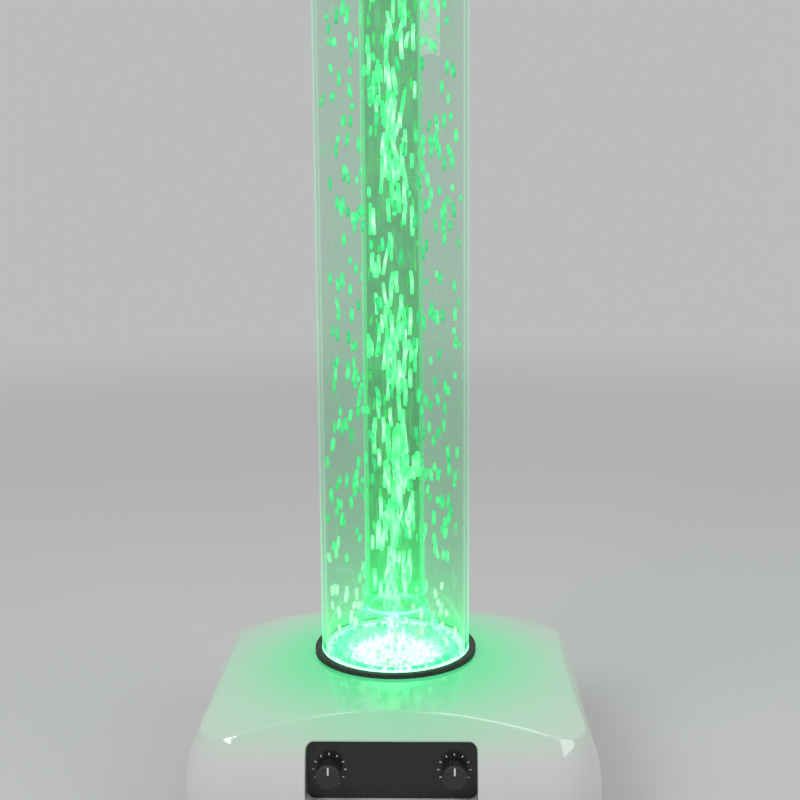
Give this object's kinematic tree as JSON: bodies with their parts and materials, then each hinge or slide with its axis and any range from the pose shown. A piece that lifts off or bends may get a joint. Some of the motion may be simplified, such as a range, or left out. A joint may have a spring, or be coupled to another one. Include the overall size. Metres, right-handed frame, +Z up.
{
  "type": "waterless bubble tube",
  "caption": "Floor-standing sensory lamp: two nested clear tubes on a domed white base; a blower lifts lit foam beads up the inner tube and they fall back outside it.",
  "frame": {"origin": "on the standing surface under the middle of the base", "axes": "+Z up along the tube, front panel towards -Y, +X to the right seen from the front"},
  "size_m": [0.333, 0.289, 1.219],
  "materials": {
    "shell_white": "moulded, satin gloss",
    "socket_white": "moulded, matte",
    "plate_grey": "textured moulding",
    "foot_rubber": "matte",
    "seal_rubber": "smooth",
    "clear_acrylic": "polished, clear",
    "diffuser_white": "translucent, lit from below",
    "board_white": "solder mask",
    "board_green": "solder mask",
    "led_lens": "lit",
    "component_black": "moulded",
    "fan_black": "moulded",
    "steel": "machined",
    "brass_pin": "plated",
    "panel_black": "satin",
    "knob_black": "moulded, fluted",
    "pointer_white": "inlaid",
    "mesh_steel": "perforated",
    "bead_foam": "expanded foam",
    "lead_black": "insulated",
    "screw_steel": "zinc plated"
  },
  "bodies": {
    "casing": {"base_shell": "shell_white", "top_cap": "shell_white", "tube_socket": "socket_white", "air_nozzle": "socket_white", "base_plate": "plate_grey", "rubber_feet": "foot_rubber", "tube_seal": "seal_rubber", "outer_tube": "clear_acrylic", "riser_tube": "clear_acrylic", "riser_stand": "clear_acrylic", "riser_spider": "clear_acrylic", "bead_deflector": "clear_acrylic", "bead_hopper": "diffuser_white", "led_board": "board_white", "leds": "led_lens", "control_board": "board_green", "board_parts": "component_black", "speed_pot": "component_black", "colour_pot": "component_black", "blower_housing": "fan_black", "blower_cover": "fan_black", "fan_motor": "steel", "fan_bearings": "steel", "pot_nuts": "steel", "inlet_nut": "steel", "nozzle_screen": "mesh_steel", "cap_mesh": "mesh_steel", "control_panel": "panel_black", "dc_inlet": "component_black", "inlet_pin": "brass_pin", "switch_body": "component_black", "inlet_lead": "lead_black", "power_lead": "lead_black", "fan_lead": "lead_black", "led_lead": "lead_black", "base_screws": "screw_steel", "socket_screws": "screw_steel", "blower_screws": "screw_steel", "cap_screws": "screw_steel", "deflector_screw": "screw_steel", "hopper_beads": "bead_foam", "rising_beads": "bead_foam", "falling_beads": "bead_foam"},
    "fan_rotor": {"impeller": "fan_black", "fan_shaft": "steel"},
    "speed_control": {"speed_knob": "knob_black", "speed_shaft": "steel", "speed_pointer": "pointer_white"},
    "colour_control": {"colour_knob": "knob_black", "colour_shaft": "steel", "colour_pointer": "pointer_white"},
    "switch_rocker": {"power_rocker": "component_black"}
  },
  "joints": [
    {"name": "fan_spin", "type": "hinge", "parent": "casing", "child": "fan_rotor", "pos_m": [0, -0.0225, 0.0435], "axis": [1, 0, 0], "continuous": true},
    {"name": "speed_turn", "type": "hinge", "parent": "casing", "child": "speed_control", "pos_m": [-0.0485, -0.14, 0.074], "axis": [0, 1, 0], "range_deg": [-150, 150]},
    {"name": "colour_turn", "type": "hinge", "parent": "casing", "child": "colour_control", "pos_m": [0.0485, -0.14, 0.074], "axis": [0, 1, 0], "range_deg": [-150, 150]},
    {"name": "power_rock", "type": "hinge", "parent": "casing", "child": "switch_rocker", "pos_m": [0.015, 0.137, 0.028], "axis": [0, 0, 1], "range_deg": [-16, 0]}
  ]
}
